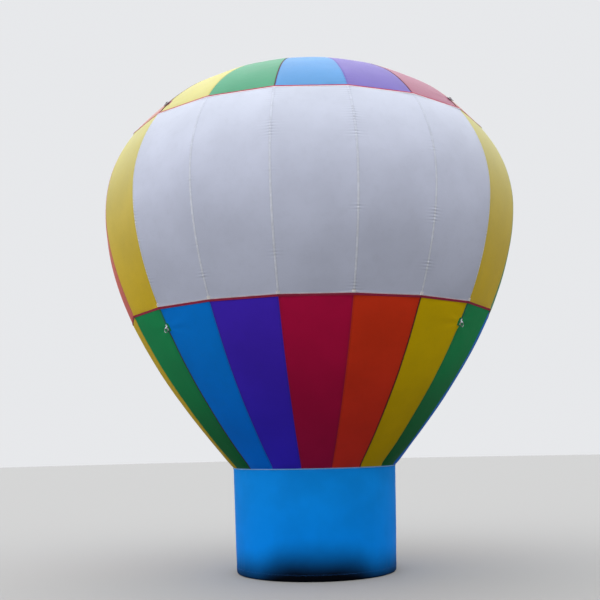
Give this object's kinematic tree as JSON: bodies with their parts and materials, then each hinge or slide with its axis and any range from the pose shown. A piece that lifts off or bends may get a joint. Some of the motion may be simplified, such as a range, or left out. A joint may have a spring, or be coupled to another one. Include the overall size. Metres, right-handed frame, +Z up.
{
  "type": "inflatable advertising sky balloon",
  "caption": "Hot-air-balloon-shaped ground inflatable of coloured gores with blank banner bands, on a drum base, with tie-down rings and a blower.",
  "frame": {"origin": "on the balloon's axis, on the floor under the drum", "axes": "+Z up, -Y towards the front banner, +X to the right seen from the front"},
  "size_m": [4.9412, 4.8894, 6.0041],
  "materials": {
    "green_fabric": "coated nylon, satin",
    "blue_fabric": "coated nylon, satin",
    "purple_fabric": "coated nylon, satin",
    "crimson_fabric": "coated nylon, satin",
    "orange_fabric": "coated nylon, satin",
    "yellow_fabric": "coated nylon, satin",
    "white_fabric": "coated nylon, satin",
    "drum_fabric": "coated nylon, satin, grubby at the hem",
    "seam_webbing": "woven tape, matt",
    "ring_steel": "zinc plated",
    "blower_plastic": "moulded, matt",
    "wheel_plastic": "moulded, matt"
  },
  "bodies": {
    "balloon": {"lower_gore_00": "crimson_fabric", "lower_gore_01": "orange_fabric", "lower_gore_02": "yellow_fabric", "lower_gore_03": "green_fabric", "lower_gore_04": "blue_fabric", "lower_gore_05": "purple_fabric", "lower_gore_06": "crimson_fabric", "lower_gore_07": "orange_fabric", "lower_gore_08": "yellow_fabric", "lower_gore_09": "green_fabric", "lower_gore_10": "blue_fabric", "lower_gore_11": "purple_fabric", "lower_gore_12": "crimson_fabric", "lower_gore_13": "orange_fabric", "lower_gore_14": "yellow_fabric", "lower_gore_15": "green_fabric", "lower_gore_16": "blue_fabric", "lower_gore_17": "purple_fabric", "side_gore_03": "yellow_fabric", "side_gore_04": "green_fabric", "side_gore_05": "blue_fabric", "side_gore_06": "purple_fabric", "side_gore_12": "purple_fabric", "side_gore_13": "crimson_fabric", "side_gore_14": "orange_fabric", "side_gore_15": "yellow_fabric", "crown_gore_00": "blue_fabric", "crown_gore_01": "purple_fabric", "crown_gore_02": "crimson_fabric", "crown_gore_03": "orange_fabric", "crown_gore_04": "yellow_fabric", "crown_gore_05": "green_fabric", "crown_gore_06": "blue_fabric", "crown_gore_07": "purple_fabric", "crown_gore_08": "crimson_fabric", "crown_gore_09": "orange_fabric", "crown_gore_10": "yellow_fabric", "crown_gore_11": "green_fabric", "crown_gore_12": "blue_fabric", "crown_gore_13": "purple_fabric", "crown_gore_14": "crimson_fabric", "crown_gore_15": "orange_fabric", "crown_gore_16": "yellow_fabric", "crown_gore_17": "green_fabric", "front_banner": "white_fabric", "back_banner": "white_fabric", "crown_patch": "white_fabric", "drum": "drum_fabric", "lower_seam_tape": "seam_webbing", "upper_seam_tape": "seam_webbing", "blower_housing": "blower_plastic"},
    "wheel": {"blower_wheel": "wheel_plastic"},
    "lower_ring_front_left": {"lower_ring_front_left": "ring_steel"},
    "lower_ring_front_right": {"lower_ring_front_right": "ring_steel"},
    "lower_ring_back_right": {"lower_ring_back_right": "ring_steel"},
    "lower_ring_back_left": {"lower_ring_back_left": "ring_steel"},
    "upper_ring_front_left": {"upper_ring_front_left": "ring_steel"},
    "upper_ring_front_right": {"upper_ring_front_right": "ring_steel"},
    "upper_ring_back_right": {"upper_ring_back_right": "ring_steel"},
    "upper_ring_back_left": {"upper_ring_back_left": "ring_steel"}
  },
  "joints": [
    {"name": "blower_wheel_spin", "type": "hinge", "parent": "balloon", "child": "wheel", "pos_m": [0, 1.72, 0.285], "axis": [1, 0, 0], "continuous": true},
    {"name": "lower_ring_front_left_swing", "type": "hinge", "parent": "balloon", "child": "lower_ring_front_left", "pos_m": [-1.53884, -1.36384, 2.70894], "axis": [-0.6633, 0.7484, 0], "range_deg": [-20, 150]},
    {"name": "lower_ring_front_right_swing", "type": "hinge", "parent": "balloon", "child": "lower_ring_front_right", "pos_m": [1.61034, -1.27863, 2.70894], "axis": [-0.6218, -0.7832, 0], "range_deg": [-20, 150]},
    {"name": "lower_ring_back_right_swing", "type": "hinge", "parent": "balloon", "child": "lower_ring_back_right", "pos_m": [1.53884, 1.36384, 2.70894], "axis": [0.6633, -0.7484, 0], "range_deg": [-20, 150]},
    {"name": "lower_ring_back_left_swing", "type": "hinge", "parent": "balloon", "child": "lower_ring_back_left", "pos_m": [-1.61034, 1.27863, 2.70894], "axis": [0.6218, 0.7832, 0], "range_deg": [-20, 150]},
    {"name": "upper_ring_front_left_swing", "type": "hinge", "parent": "balloon", "child": "upper_ring_front_left", "pos_m": [-1.52918, -1.35529, 5.21518], "axis": [-0.6633, 0.7484, 0], "range_deg": [0, 170]},
    {"name": "upper_ring_front_right_swing", "type": "hinge", "parent": "balloon", "child": "upper_ring_front_right", "pos_m": [1.60024, -1.27061, 5.21518], "axis": [-0.6218, -0.7832, 0], "range_deg": [0, 170]},
    {"name": "upper_ring_back_right_swing", "type": "hinge", "parent": "balloon", "child": "upper_ring_back_right", "pos_m": [1.52918, 1.35529, 5.21518], "axis": [0.6633, -0.7484, 0], "range_deg": [0, 170]},
    {"name": "upper_ring_back_left_swing", "type": "hinge", "parent": "balloon", "child": "upper_ring_back_left", "pos_m": [-1.60024, 1.27061, 5.21518], "axis": [0.6218, 0.7832, 0], "range_deg": [0, 170]}
  ]
}
